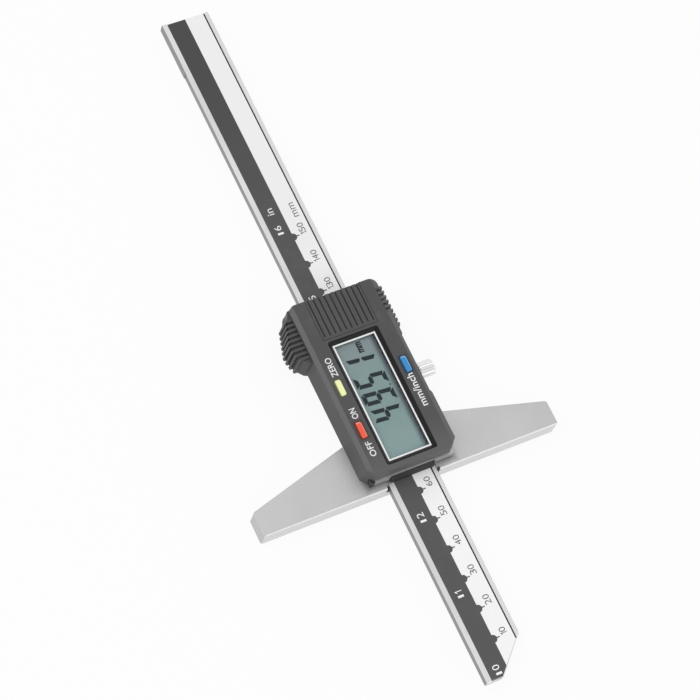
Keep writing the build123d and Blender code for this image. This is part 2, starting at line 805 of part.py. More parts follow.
def build():
    nodes = {
        "t_frame": make_t_frame(),
        "gib_strip": make_gib_strip(),
        "chassis_plate": make_chassis(),
        "beam_wiper": make_wiper(),
        "front_housing": make_housing(),
        "display_bezel": make_bezel(),
        "display_line": make_display_line(),
        "display_lens": make_lens(),
        "lcd_panel": make_lcd(),
        "zebra_left": make_zebra(-1),
        "zebra_right": make_zebra(1),
        "main_board": make_main_board(),
        "sensor_board": make_sensor_board(),
        "board_link": make_board_link(),
        "battery_tray": make_battery_tray(),
        "battery_cell": make_battery_cell(),
        "battery_contact": make_bottom_contact(),
        "battery_side_contact": make_side_contact(),
        "battery_door": make_battery_door(),
        "beam": make_beam(),
        "scale_board": make_scale_board(),
        "scale_label": make_scale_label(),
        "lock_screw": make_lock_screw(),
        "lock_pad": make_lock_pad(),
    }
    for number, y in enumerate(gib_screw_places(), start=1):
        nodes[f"gib_screw_{number}"] = make_gib_screw(y)
    for number, (x, y) in enumerate(screw_places(), start=1):
        nodes[f"module_screw_{number}"] = make_module_screw(x, y)
    for x, y, name in button_places():
        nodes[f"button_{name}"] = make_button(x, y)
        nodes[f"switch_dome_{name}"] = make_dome(x, y)
    return nodes


os.makedirs("parts", exist_ok=True)
for node, shape in build().items():
    export_step(shape, f"parts/{node}.step")
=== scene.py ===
import math

import bmesh
import bpy
from mathutils import Matrix, Vector


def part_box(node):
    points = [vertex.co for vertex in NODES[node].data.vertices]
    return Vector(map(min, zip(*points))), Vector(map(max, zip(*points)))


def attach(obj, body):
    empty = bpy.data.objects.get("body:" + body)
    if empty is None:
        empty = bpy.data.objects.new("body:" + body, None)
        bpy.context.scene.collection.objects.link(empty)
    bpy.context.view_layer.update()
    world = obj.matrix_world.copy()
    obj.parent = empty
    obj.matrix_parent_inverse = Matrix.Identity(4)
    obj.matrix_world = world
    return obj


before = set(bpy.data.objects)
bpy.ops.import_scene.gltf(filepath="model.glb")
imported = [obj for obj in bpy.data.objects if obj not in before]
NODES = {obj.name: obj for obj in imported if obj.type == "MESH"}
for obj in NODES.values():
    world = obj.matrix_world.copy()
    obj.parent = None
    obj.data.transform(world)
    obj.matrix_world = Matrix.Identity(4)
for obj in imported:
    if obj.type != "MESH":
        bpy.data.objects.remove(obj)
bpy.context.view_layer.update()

bl_info = {
    "name": "Digital Depth Gauge",
    "version": (1, 0, 0),
    "blender": (4, 5, 0),
    "location": "3D View > Sidebar > Depth Gauge",
    "description": "Finishes, printing, display and stage of a digital depth gauge",
    "category": "Object",
}

MM = 0.001
INCH = 25.4 * MM
BUTTONS = ("zero", "power", "units")

LABEL_LOW, LABEL_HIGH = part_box("scale_label")
LCD_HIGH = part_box("lcd_panel")[1]
HOUSING_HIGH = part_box("front_housing")[1]
FRAME_LOW, FRAME_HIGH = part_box("t_frame")

# Directions in which a tone fades in
RIGHT, LEFT = (1.0, 0.0, 0.0), (-1.0, 0.0, 0.0)
TO_TAIL, TO_TIP = (0.0, 1.0, 0.0), (0.0, -1.0, 0.0)

# Stage: floor, lamps and camera, which stand round the origin, and full white
FLOOR_REACH = 2.0
FLOOR_DEPTH = 0.002
LAMPS = (("key_lamp", "key_power", (-0.45, 0.25, 0.75), 0.7),
         ("fill_lamp", "fill_power", (0.35, -0.75, 0.3), 0.6))
CAMERA_PLACE = (-0.26656, -0.19798, 0.72264)
CAMERA_DEGREES = (24.606, -10.669, -25.614)
SENSOR_WIDTH = 36.0
WHITE = (1.0, 1.0, 1.0, 1.0)

# Steel: painted contact shadow round the chassis, lapped measuring face with painted light on it,
# and painted shade along the chassis's left edge and at its foot
CONTACT_SHADOW_REACH = 2.4 * MM
LAPPED_AND_LIT_EDGE = (-0.4 * MM, -0.1 * MM)
CHASSIS_SHADED_EDGE = (1.5 * MM, 1.2 * MM)
CHASSIS_FOOT_SHADOW = 0.3 * MM

# Case: painted light on the bevel along its long edges, painted shade in the gaps between the fins
# of the thumb grip, and painted reflection that lightens its end at the base
BEVEL_INSIDE, BEVEL_LOW, BEVEL_HIGH = 13.35 * MM, 12.28 * MM, 12.79 * MM
FIN_GAPS = {"First": 58.3 * MM, "Pitch": 1.61 * MM, "Gaps": 8.0, "Share": 0.5,
            "Half Width": 15.0 * MM, "High": 11.3 * MM}
BASE_END, BASE_END_LIGHT_GAIN = (-17.0 * MM, -2.5 * MM), 1.5

# Buttons: painted shade halo round each cap, its shares of the case's colour and of the cap's
# colour as painted reflection, and where the painted lit and shaded rims begin and end inside the
# cap
BUTTON_HALO_SHADE = 0.95 * MM
HALO_CASE, HALO_CAP = 0.25, 0.07
LIT_END = (0.7 * MM, 0.2 * MM)
LIT_SIDE = (0.5 * MM, 0.15 * MM)
SHADED_SIDE = (0.42 * MM, 0.15 * MM)
LIT_WHITE, SHADED_GAIN = 0.3, 0.35
CAP_DEPTH = 0.3 * MM

# Scale: one printed layer, the zero, the film darker towards its tail, the painted reflection
# gradient that darkens the dark band towards its tail, the width of the painted gap shadow, and
# columns and signs of figures
INK = 0.012 * MM
PRINTED_ZERO = -63.84 * MM
LAST_READING = 150
GAP_SHADOW_WIDTH = 0.36 * MM
FILM_TAIL, FILM_TAIL_GAIN = (70.0 * MM, 86.0 * MM), 0.925
BAND_TAIL, BAND_TAIL_SHADE_GAIN = (60.0 * MM, 160.0 * MM), 0.56
MM_COLUMN = (2.55 * MM, 4.65 * MM)
MM_FIGURE, MM_FIGURE_AHEAD, HUNDREDS_BACK = 1.5 * MM, 0.1 * MM, 0.2 * MM
MM_SIGN = ("mm", 3.25 * MM, 4.88 * MM, 156.1 * MM, 5.1 * MM)
INCH_COLUMN = (-4.55 * MM, -2.3 * MM)
INCH_FIGURE, INCH_FIGURE_AHEAD = 1.6 * MM, 1.15 * MM
INCH_SIGN = ("in", -4.5 * MM, -2.25 * MM, 159.2 * MM, 2.3 * MM)
INCH_BAR_X = -3.26 * MM
INCH_BAR_SIZE = (1.9 * MM, 0.72 * MM, INK)
INCH_COUNT = 7
BUMP_CORNERS = 40
TICK_ROOT = 0.9  # where a tick starts, as a share of its bump's radius

# A figure 1 in a unit square as (right, up), its width and the space after a figure
ONE_OUTLINE = [(0.62, 0.0), (1.0, 0.0), (1.0, 1.0), (0.72, 1.0), (0.0, 0.80), (0.0, 0.66),
               (0.62, 0.80)]
ONE_WIDTH = 0.42
FIGURE_GAP = 0.12

# Display: painted light towards its near end, a greyer painted shade towards its far end and
# painted shadow along its right side, and the segments and places of digits, point and sign
GLASS_FAR, GLASS_NEAR = (33.0 * MM, 45.0 * MM), (-22.0 * MM, -8.0 * MM)
GLASS_FAR_SHADE_TONE, GLASS_NEAR_LIGHT_GAIN = (0.25, 0.305, 0.32), 1.14
GLASS_SIDE = (4.4 * MM, 6.8 * MM)
SEGMENTS = {"4": "bcfg", "9": "abcdfg", "5": "acdfg", "1": "bc"}
SEGMENT_GAP, SEGMENT_MITRE = 0.16, 0.8  # shares of the stroke
DIGITS = "4951"
DIGITS_BEFORE_POINT = 2
DIGITS_FOOT_X = 4.75 * MM
DIGITS_START_Y = 17.8 * MM
POINT_RADIUS = 0.26 * MM
POINT_BACK = 0.75 * MM
POINT_CORNERS = 16
UNIT_SIGN = ("mm", 0.1 * MM, 1.9 * MM, 41.15 * MM, 3.7 * MM)

# Words beside the buttons: text, low and high in x, start and end in y, in millimetres
BUTTON_WORDS = (("ZERO", -11.85, -9.8, 36.1, 42.55), ("ON", -11.9, -9.9, 21.6, 25.05),
                ("OFF", -11.95, -9.95, 8.75, 13.7), ("mm/inch", 9.45, 11.8, 17.85, 29.05))

SOCKETS = {"value": "NodeSocketFloat", "vector": "NodeSocketVector",
           "color": "NodeSocketColor", "count": "NodeSocketInt",
           "material": "NodeSocketMaterial", "geometry": "NodeSocketGeometry"}
VECTOR_MATH = "ShaderNodeVectorMath"


# ---- node helpers
def put(tree, socket, value):
    """Sets an input to a value, or links it where the value is another node's output."""
    if isinstance(value, bpy.types.NodeSocket):
        tree.links.new(value, socket)
    else:
        socket.default_value = value


def add_node(tree, kind, operation=None, **values):
    """New node with its named inputs put in; an underscore stands for a space."""
    node = tree.nodes.new(kind)
    if operation:
        node.operation = operation
    for name, value in values.items():
        put(tree, node.inputs[name.replace("_", " ")], value)
    return node


def add_math(tree, operation, *operands, kind="ShaderNodeMath"):
    """First output of a math node with its operands put in by order."""
    node = add_node(tree, kind, operation)
    for socket, value in zip(node.inputs, operands):
        put(tree, socket, value)
    return node.outputs[0]


def add_ramp(tree, value, low, high, smooth=True, falling=False):
    """0 to 1, or 1 to 0 where falling, while the value goes from low to high."""
    ramp = add_node(tree, "ShaderNodeMapRange", Value=value, From_Min=low, From_Max=high,
                    To_Min=float(falling), To_Max=float(not falling))
    ramp.interpolation_type = "SMOOTHSTEP" if smooth else "LINEAR"
    return ramp.outputs[0]


def add_mix(tree, factor, first, second, blend_type="MIX"):
    """Colour output of a Mix node, whose colour sockets only their numbers tell apart."""
    node = add_node(tree, "ShaderNodeMix")
    node.data_type = "RGBA"
    node.blend_type = blend_type
    for index, value in ((0, factor), (6, first), (7, second)):
        put(tree, node.inputs[index], value)
    return node.outputs[2]


def add_all(tree, *tests):
    """Mask that is 1 where every (operation, first, second) holds."""
    mask = add_math(tree, *tests[0])
    for test in tests[1:]:
        mask = add_math(tree, "MULTIPLY", mask, add_math(tree, *test))
    return mask


def split_axes(tree, vector):
    """X, Y and Z outputs of a vector."""
    return add_node(tree, "ShaderNodeSeparateXYZ", Vector=vector).outputs


def new_tree(name, kind, inputs, outputs):
    """Empty node tree, the outputs of its input node, and its output node.

    inputs and outputs give each socket's name a kind of SOCKETS.
    """
    tree = bpy.data.node_groups.new(name, kind)
    for in_out, sockets in (("INPUT", inputs), ("OUTPUT", outputs)):
        for label, socket in sockets.items():
            tree.interface.new_socket(label, in_out=in_out, socket_type=SOCKETS[socket])
    return tree, tree.nodes.new("NodeGroupInput").outputs, tree.nodes.new("NodeGroupOutput")


# ---- shader groups
RUB_RANGE, TONE_RANGE = (0.55, 0.75), (0.35, 0.65)
RUB_SCALE = 3.0
RUBBED = (0.12, 0.12, 0.12, 1.0)
RUB_POLISH = 0.25


def build_surface_group():
    """Grain, patchy tone and rubbed wear, shared by every finish.

    Stretch pulls the grain out along one axis, which turns it into grinding lines.
    """
    inputs = {"Vector": "vector", "Tone": "color", "Second Tone": "color", "Stretch": "vector"}
    for label in ("Grain Scale", "Patch Scale", "Roughness", "Roughness Spread", "Wear"):
        inputs[label] = "value"
    group, get, sink = new_tree("worked_surface", "ShaderNodeTree", inputs,
                                {"Color": "color", "Roughness": "value", "Height": "value"})
    stretched = add_math(group, "MULTIPLY", get["Vector"], get["Stretch"], kind=VECTOR_MATH)
    grain = add_node(group, "ShaderNodeTexNoise", Vector=stretched, Scale=get["Grain Scale"],
                     Detail=3.0, Roughness=0.6).outputs["Fac"]
    patch = add_node(group, "ShaderNodeTexNoise", Vector=get["Vector"],
                     Scale=get["Patch Scale"], Detail=2.0, Roughness=0.5).outputs["Fac"]
    rub = add_node(group, "ShaderNodeTexNoise", Vector=stretched,
                   Scale=add_math(group, "MULTIPLY", get["Patch Scale"], RUB_SCALE),
                   Detail=5.0, Roughness=0.7).outputs["Fac"]
    worn = add_math(group, "MULTIPLY", add_ramp(group, rub, *RUB_RANGE, smooth=False),
                    get["Wear"])
    blend = add_math(group, "MULTIPLY", add_math(group, "ADD", grain, patch), 0.5)
    tone = add_mix(group, add_ramp(group, blend, *TONE_RANGE, smooth=False), get["Tone"],
                   get["Second Tone"])
    color = add_mix(group, worn, tone, RUBBED, blend_type="SCREEN")
    swing = add_math(group, "SUBTRACT", add_math(group, "MULTIPLY", blend, 2.0), 1.0)
    gain = add_math(group, "ADD", add_math(group, "MULTIPLY", swing, get["Roughness Spread"]),
                    1.0)
    rough = add_math(group, "MULTIPLY", get["Roughness"],
                     add_math(group, "SUBTRACT", gain,
                              add_math(group, "MULTIPLY", worn, RUB_POLISH)))
    for label, value in (("Color", color), ("Roughness", rough), ("Height", grain)):
        group.links.new(value, sink.inputs[label])
    return group


def new_mask(name, numbers, vectors=()):
    """Shader group that turns a place, other vectors and numbers into one mask."""
    inputs = dict.fromkeys(("Vector", *vectors), "vector")
    inputs.update(dict.fromkeys(numbers, "value"))
    return new_tree(name, "ShaderNodeTree", inputs, {"Mask": "value"})


def build_rim_group():
    """Mask of the flanks further from the centre line than Half Width, between two heights."""
    group, get, sink = new_mask("rim_mask", ("Half Width", "Low", "High"))
    place = split_axes(group, get["Vector"])
    mask = add_all(group,
                   ("GREATER_THAN", add_math(group, "ABSOLUTE", place["X"]), get["Half Width"]),
                   ("GREATER_THAN", place["Z"], get["Low"]),
                   ("LESS_THAN", place["Z"], get["High"]))
    group.links.new(mask, sink.inputs["Mask"])
    return group


def build_fade_group():
    """Mask that rises smoothly from Start to End along an axis."""
    group, get, sink = new_mask("fade_mask", ("Start", "End"), ("Axis",))
    along = add_node(group, VECTOR_MATH, "DOT_PRODUCT")
    for socket, value in zip(along.inputs, (get["Vector"], get["Axis"])):
        group.links.new(value, socket)
    group.links.new(add_ramp(group, along.outputs["Value"], get["Start"], get["End"]),
                    sink.inputs["Mask"])
    return group


def build_groove_group():
    """Mask of the gaps between ribs that repeat down the Y axis from the First one.

    Share is the gap's part of the pitch; only what lies outside Half Width, below High, counts.
    """
    group, get, sink = new_mask("groove_mask", ("First", "Pitch", "Gaps", "Share",
                                                "Half Width", "High"))
    place = split_axes(group, get["Vector"])
    steps = add_math(group, "DIVIDE", add_math(group, "SUBTRACT", get["First"], place["Y"]),
                     get["Pitch"])
    from_middle = add_math(group, "ABSOLUTE", add_math(
        group, "SUBTRACT", add_math(group, "FRACT", steps), 0.5))
    mask = add_all(group,
                   ("LESS_THAN", from_middle, add_math(group, "MULTIPLY", get["Share"], 0.5)),
                   ("GREATER_THAN", steps, 0.0),
                   ("LESS_THAN", steps, get["Gaps"]),
                   ("GREATER_THAN", add_math(group, "ABSOLUTE", place["X"]), get["Half Width"]),
                   ("LESS_THAN", place["Z"], get["High"]))
    group.links.new(mask, sink.inputs["Mask"])
    return group


def build_halo_group():
    """Mask that is full inside a box in x and y and fades out over Reach around it, above Low."""
    group, get, sink = new_mask("halo_mask", ("Reach", "Low"), ("Middle", "Half Size"))
    above = add_math(group, "GREATER_THAN", split_axes(group, get["Vector"])["Z"], get["Low"])
    offset = add_math(group, "SUBTRACT", get["Vector"], get["Middle"], kind=VECTOR_MATH)
    distance = add_math(group, "ABSOLUTE", offset, kind=VECTOR_MATH)
    outside = split_axes(group, add_math(group, "SUBTRACT", distance, get["Half Size"],
                                         kind=VECTOR_MATH))
    away = add_math(group, "MAXIMUM", outside["X"], outside["Y"])
    halo = add_ramp(group, away, 0.0, get["Reach"], falling=True)
    group.links.new(add_math(group, "MULTIPLY", halo, above), sink.inputs["Mask"])
    return group


BUILDERS = {"worked_surface": build_surface_group, "rim_mask": build_rim_group,
            "fade_mask": build_fade_group, "groove_mask": build_groove_group,
            "halo_mask": build_halo_group}


# ---- finishes
def add_group(tree, name, place, values):
    """Outputs of a shared group, built on first use, that reads its Vector from place."""
    node = tree.nodes.new("ShaderNodeGroup")
    node.node_tree = bpy.data.node_groups.get(name) or BUILDERS[name]()
    for label, value in {"Vector": place, **values}.items():
        put(tree, node.inputs[label], value)
    return node.outputs


def make_finish(name, tones, metallic=0.0, roughness=0.5, spread=0.25, grain=3000.0,
                patch=60.0, stretch=(1.0, 1.0, 1.0), bump=0.15, depth=0.02, wear=0.2,
                specular=0.5, alpha=1.0, washes=()):
    """Material whose colour, roughness and bump all come from the shared surface group.

    The surface wanders between the two tones. depth, in millimetres, is that of the bumps.
    Each wash lays another tone where a mask group says: (group name, its inputs, tone).
    """
    material = bpy.data.materials.new(name)
    material.use_nodes = True
    tree = material.node_tree
    shader = tree.nodes["Principled BSDF"]
    place = tree.nodes.new("ShaderNodeTexCoord").outputs["Object"]
    surface = add_group(tree, "worked_surface", place, {
        "Tone": (*tones[0], 1.0), "Second Tone": (*tones[1], 1.0), "Stretch": stretch,
        "Grain Scale": grain, "Patch Scale": patch, "Roughness": roughness,
        "Roughness Spread": spread, "Wear": wear})
    color = surface["Color"]
    for group_name, inputs, wash_tone in washes:
        mask = add_group(tree, group_name, place, inputs)["Mask"]
        color = add_mix(tree, mask, color, (*wash_tone, 1.0))
    raised = add_node(tree, "ShaderNodeBump", Strength=bump, Distance=depth * MM,
                      Height=surface["Height"])
    for label, value in {"Base Color": color, "Roughness": surface["Roughness"],
                         "Normal": raised.outputs["Normal"], "Metallic": metallic,
                         "Specular IOR Level": specular, "Alpha": alpha}.items():
        put(tree, shader.inputs[label], value)
    return material


def scaled(tone, gain):
    """Colour times a number, kept in range."""
    return tuple(min(1.0, channel * gain) for channel in tone)


def shades(tone, dark, light):
    """Darker and lighter tone of one colour."""
    return scaled(tone, dark), scaled(tone, light)


def rim_wash(half_width, low, high, tone):
    """Wash for flanks further out than half_width, between two heights."""
    return "rim_mask", {"Half Width": half_width, "Low": low, "High": high}, tone


def fade_wash(axis, start, end, tone):
    """Wash that comes in from start to end along an axis."""
    return "fade_mask", {"Axis": axis, "Start": start, "End": end}, tone


def halo_wash(low, high, reach, above, tone):
    """Wash inside the box from low to high in x and y, which fades out over reach around it."""
    return "halo_mask", {"Middle": (high + low) / 2, "Half Size": (high - low) / 2,
                         "Reach": reach, "Low": above}, tone


def cap_box(name):
    """Lowest and highest corners of a button's cap, without the flange under it."""
    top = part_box(name)[1].z
    corners = [v.co for v in NODES[name].data.vertices if v.co.z > top - CAP_DEPTH]
    return tuple(Vector([pick(corner[axis] for corner in corners) for axis in range(3)])
                 for pick in (min, max))


def paint(nodes, material):
    """Puts one material on CAD nodes."""
    for name in nodes:
        piece = NODES[name]
        piece.data.materials.clear()
        piece.data.materials.append(material)


def seen_rays(tree):
    """1 for rays that show the background: straight from the camera, mirrored or through glass."""
    path = tree.nodes.new("ShaderNodeLightPath")
    straight = add_math(tree, "MAXIMUM", path.outputs["Is Camera Ray"],
                        path.outputs["Is Transmission Ray"])
    return add_math(tree, "MAXIMUM", straight, path.outputs["Is Glossy Ray"])


# ---- mesh helpers
def add_object(name, data):
    """New object at the origin of the scene."""
    thing = bpy.data.objects.new(name, data)
    bpy.context.scene.collection.objects.link(thing)
    return thing


def add_piece(name, mesh, material, body):
    """Object at the origin that rides on a body and takes its finish from a slot."""
    mesh.name = name
    mesh.materials.clear()
    mesh.materials.append(material)
    piece = add_object(name, mesh)
    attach(piece, body)


def plate_mesh(outlines, low, high):
    """Closed plates on flat outlines, each a list of (x, y) in anticlockwise order."""
    work = bmesh.new()
    for outline in outlines:
        under = [work.verts.new((x, y, low)) for x, y in outline]
        over = [work.verts.new((x, y, high)) for x, y in outline]
        work.faces.new(list(reversed(under)))
        work.faces.new(over)
        for index in range(len(outline)):
            work.faces.new((under[index - 1], under[index], over[index], over[index - 1]))
    mesh = bpy.data.meshes.new("plates")
    work.to_mesh(mesh)
    work.free()
    return mesh


def words_mesh(words, low, high, start_y, end_y, z, weight=0.0):
    """Raised words that read up the beam, tops towards -X, fitted to a box in x and y.

    weight makes the strokes bolder.
    """
    curve = bpy.data.curves.new("words", "FONT")
    curve.body = words
    curve.size = 1.0
    curve.extrude = 0.5
    curve.offset = weight
    curve.resolution_u = 3
    writer = add_object("words", curve)
    bpy.context.view_layer.update()
    shape = writer.evaluated_get(bpy.context.evaluated_depsgraph_get())
    mesh = bpy.data.meshes.new_from_object(shape)
    bpy.data.objects.remove(writer)
    corners = [vertex.co for vertex in mesh.vertices]
    left, right = min(c.x for c in corners), max(c.x for c in corners)
    foot, top = min(c.y for c in corners), max(c.y for c in corners)
    along = (end_y - start_y) / (right - left)
    across = (high - low) / (top - foot)
    mesh.transform(Matrix(((0, -across, 0, high + foot * across),
                           (along, 0, 0, start_y - left * along),
                           (0, 0, INK, z + INK / 2), (0, 0, 0, 1))))
    work = bmesh.new()
    work.from_mesh(mesh)
    bmesh.ops.remove_doubles(work, verts=work.verts, dist=1e-8)
    bmesh.ops.recalc_face_normals(work, faces=work.faces)
    work.to_mesh(mesh)
    work.free()
    return mesh


def figure_meshes(number, column, start_y, width, z):
    """Figures of a number up the beam, as wide as given and a 1 narrower, in a column of x."""
    meshes = []
    low, high = column
    place = start_y
    for figure in str(number):
        reach = ONE_WIDTH * width if figure == "1" else width
        if figure == "1":
            outline = [(high - up * (high - low), place + right * reach)
                       for right, up in ONE_OUTLINE]
            meshes.append(plate_mesh([outline], z, z + INK))
        else:
            meshes.append(words_mesh(figure, low, high, place, place + reach, z))
        place += reach + FIGURE_GAP * width
    return meshes


def sign_mesh(sign, origin, z, weight=0.0):
    """Words of a sign: (words, low and high in x, start from the origin and length in y)."""
    words, low, high, start, length = sign
    start += origin
    return words_mesh(words, low, high, start, start + length, z, weight)


def join_meshes(meshes):
    """One mesh from several."""
    work = bmesh.new()
    for mesh in meshes:
        work.from_mesh(mesh)
    joined = bpy.data.meshes.new("joined")
    work.to_mesh(joined)
    work.free()
    for mesh in meshes:
        bpy.data.meshes.remove(mesh)
    return joined


def segment_outline(which, width, height, stroke):
    """Corners of one segment of a seven segment digit, baseline at y = 0.

    The ends are mitred, with a thin gap between neighbours.
    """
    half = stroke / 2
    gap = stroke * SEGMENT_GAP
    mitre = stroke * SEGMENT_MITRE
    middle = height / 2
    if which == "g":
        left, right = half * 0.6 + gap, width - half * 0.6 - gap
        return [(left, middle), (left + half, middle - half), (right - half, middle - half),
                (right, middle), (right - half, middle + half), (left + half, middle + half)]
    if which in "ad":
        outer, inner = (height, height - stroke) if which == "a" else (0.0, stroke)
        shape = [(gap, outer), (gap + mitre, inner), (width - gap - mitre, inner),
                 (width - gap, outer)]
        return shape if which == "a" else shape[::-1]
    side, inward = (0.0, 1.0) if which in "ef" else (width, -1.0)
    outer, inner = (height, middle) if which in "bf" else (0.0, middle)
    way = 1.0 if which in "bf" else -1.0
    shape = [(side, inner + way * (gap + half * 0.3)),
             (side + inward * half * 0.8, inner + way * gap),
             (side + inward * stroke, inner + way * (gap + half * 0.9)),
             (side + inward * stroke, outer - way * (gap + mitre)),
             (side, outer - way * 2 * gap)]
    return shape if inward * way > 0 else shape[::-1]


# ---- geometry node helpers
def grown_mesh(tree, values):
    """Plain mesh from a geometry node tree with the named inputs set."""
    holder = add_object("holder", bpy.data.meshes.new("holder"))
    modifier = holder.modifiers.new("row", "NODES")
    modifier.node_group = tree
    for item in tree.interface.items_tree:
        if item.item_type == "SOCKET" and item.in_out == "INPUT" and item.name in values:
            modifier[item.identifier] = values[item.name]
    holder.update_tag()
    bpy.context.view_layer.update()
    shape = holder.evaluated_get(bpy.context.evaluated_depsgraph_get())
    mesh = bpy.data.meshes.new_from_object(shape)
    holder.modifiers.remove(modifier)
    bpy.data.objects.remove(holder)
    return mesh


def new_row(name, numbers, vectors=()):
    """Geometry node tree for a row along the beam, with the row's own inputs and more."""
    inputs = {"Count": "count", "Start": "vector", "Pitch": "value"}
    inputs.update(dict.fromkeys(vectors, "vector"))
    inputs.update(dict.fromkeys(numbers, "value"))
    return new_tree(name, "GeometryNodeTree", {**inputs, "Material": "material"},
                    {"Geometry": "geometry"})


def vector_from(tree, **axes):
    """Combine XYZ output, zero where no axis is given."""
    return add_node(tree, "ShaderNodeCombineXYZ", **axes).outputs[0]


def spread_along_beam(tree, get, sink, shape):
    """Puts the shape on a line of points up the beam and makes it plain, dressed geometry."""
    line = add_node(tree, "GeometryNodeMeshLine", Count=get["Count"],
                    Start_Location=get["Start"], Offset=vector_from(tree, Y=get["Pitch"]))
    row = add_node(tree, "GeometryNodeInstanceOnPoints", Points=line.outputs[0],
                   Instance=shape)
    real = add_node(tree, "GeometryNodeRealizeInstances", Geometry=row.outputs[0])
    dress = add_node(tree, "GeometryNodeSetMaterial", Geometry=real.outputs[0],
                     Material=get["Material"])
    tree.links.new(dress.outputs[0], sink.inputs[0])
    return tree


def build_mark_row():
    """Row of scale marks: a rounded bump with a thin tick in front of it, repeated up the beam."""
    tree, get, sink = new_row("scale_mark_row", ("Bump Radius", "Tick Length", "Tick Width",
                                                 "Thickness"))
    bump = add_node(tree, "GeometryNodeMeshCylinder", Vertices=BUMP_CORNERS,
                    Radius=get["Bump Radius"], Depth=get["Thickness"])
    tick = add_node(tree, "GeometryNodeMeshCube", Size=vector_from(
        tree, X=get["Tick Length"], Y=get["Tick Width"], Z=get["Thickness"]))
    half = add_math(tree, "MULTIPLY", get["Tick Length"], 0.5)
    ahead = add_math(tree, "MULTIPLY_ADD", get["Bump Radius"], TICK_ROOT, half)
    shift = add_node(tree, "GeometryNodeTransform", Geometry=tick.outputs["Mesh"],
                     Translation=vector_from(tree, X=ahead))
    join = add_node(tree, "GeometryNodeJoinGeometry")
    for part in (bump.outputs["Mesh"], shift.outputs[0]):
        tree.links.new(part, join.inputs[0])
    return spread_along_beam(tree, get, sink, join.outputs[0])


def build_bar_row():
    """Row of small rectangular marks repeated up the beam."""
    tree, get, sink = new_row("scale_bar_row", (), ("Bar Size",))
    bar = add_node(tree, "GeometryNodeMeshCube", Size=get["Bar Size"])
    return spread_along_beam(tree, get, sink, bar.outputs["Mesh"])


# ---- settings
def tone_setting(name, description, default):
    """Colour that a user can change."""
    return bpy.props.FloatVectorProperty(name=name, description=description, default=default,
                                         subtype="COLOR", min=0.0, max=1.0)


def number_setting(name, description, default, **kind):
    """Number that a user can change, with its unit or subtype and its limits."""
    return bpy.props.FloatProperty(name=name, description=description, default=default, **kind)


SHARE = {"subtype": "FACTOR", "min": 0.0, "max": 1.0}
LENGTH = {"unit": "LENGTH"}
POWER = {"unit": "POWER", "min": 0.0}


class GaugeStageSettings(bpy.types.PropertyGroup):
    """Lights, floor and camera."""

    key_power: number_setting("Key power", "Strength of the large soft lamp", 2.2, **POWER)
    fill_power: number_setting("Fill power", "Strength of the lamp on the other side",
                               0.9, **POWER)
    room_level: number_setting("Room level", "Light from all round", 0.72, **SHARE)
    floor_tone: tone_setting("Floor", "Colour of the floor", (0.9, 0.9, 0.9))
    shadow_share: number_setting("Shadow share", "How much of its shading the floor shows",
                                 0.10, **SHARE)
    lens: number_setting("Lens", "Focal length on a 36 mm sensor", 135.88, min=1.0)


class GaugeSteelSettings(bpy.types.PropertyGroup):
    """Ground, turned and plated metal."""

    frame_tone: tone_setting("Frame steel", "Colour of the ground frame", (0.52, 0.52, 0.525))
    # Measuring face: lapped finish, made lighter still by painted light on the front wall
    lapped_tone: tone_setting("Measuring face", "Colour of the lapped measuring face",
                              (0.68, 0.68, 0.685))
    beam_tone: tone_setting("Beam steel", "Colour of the beam's ground rims",
                            (0.68, 0.68, 0.685))
    # Painted shade on the beam's milled side walls
    wall_tone: tone_setting("Beam walls", "Colour of the beam's milled side walls",
                            (0.27, 0.27, 0.272))
    # Painted contact shadow along the line where chassis meets frame
    foot_tone: tone_setting("Chassis foot", "Colour of the oily line where chassis meets frame",
                            (0.03, 0.03, 0.03))
    # Painted shade along the chassis's left long edge, beside the case's corner
    edge_tone: tone_setting("Chassis edge", "Colour of the chassis along its dark long edge",
                            (0.055, 0.055, 0.056))
    # Painted contact shadow: brightness left on the frame round the chassis
    corner_share: number_setting("Corner shade",
                                 "Brightness left on the frame where the case stands on it",
                                 0.55, **SHARE)
    bright_tone: tone_setting("Bright plating", "Colour of the knurled screw",
                              (0.86, 0.86, 0.86))
    frame_roughness: number_setting("Frame roughness", "Roughness of the ground faces",
                                    0.46, **SHARE)


class GaugeMouldingSettings(bpy.types.PropertyGroup):
    """Moulded case, battery door and dark trim."""

    case_tone: tone_setting("Case", "Colour of the moulded case", (0.068, 0.068, 0.069))
    # Painted light on the bevel along the case's long edges
    bevel_tone: tone_setting("Bevel", "Colour of the polished bevel along the case's long edges",
                             (0.115, 0.115, 0.116))
    # Painted shade in the grooves of the grip and the door
    groove_share: number_setting("Groove shade",
                                 "Brightness left in the grooves of the grip and the door",
                                 0.45, **SHARE)
    bezel_tone: tone_setting("Border", "Colour of the sloping border of the display",
                             (0.012, 0.012, 0.013))
    well_tone: tone_setting("Display well", "Colour of the short walls round the display",
                            (0.16, 0.21, 0.21))
    case_roughness: number_setting("Case roughness", "Roughness of the moulded case",
                                   0.55, **SHARE)


class GaugeScaleSettings(bpy.types.PropertyGroup):
    """Printing on the beam."""

    white_tone: tone_setting("White film", "Colour of the light band", (0.96, 0.96, 0.96))
    dark_tone: tone_setting("Dark band", "Colour of the dark band", (0.070, 0.070, 0.071))
    figure_tone: tone_setting("Figures", "Colour of the millimetre figures",
                              (0.14, 0.14, 0.142))
    band_edge: number_setting("Band edge", "Where the dark band ends, from the centre line",
                              -0.1 * MM, **LENGTH)
    bump_radius: number_setting("Bump radius", "Radius of the rounded marks", 1.22 * MM, **LENGTH)
    tick_length: number_setting("Tick length", "Length of the thin ticks", 1.05 * MM, **LENGTH)
    tick_width: number_setting("Tick width", "Width of the thin ticks", 0.36 * MM, **LENGTH)


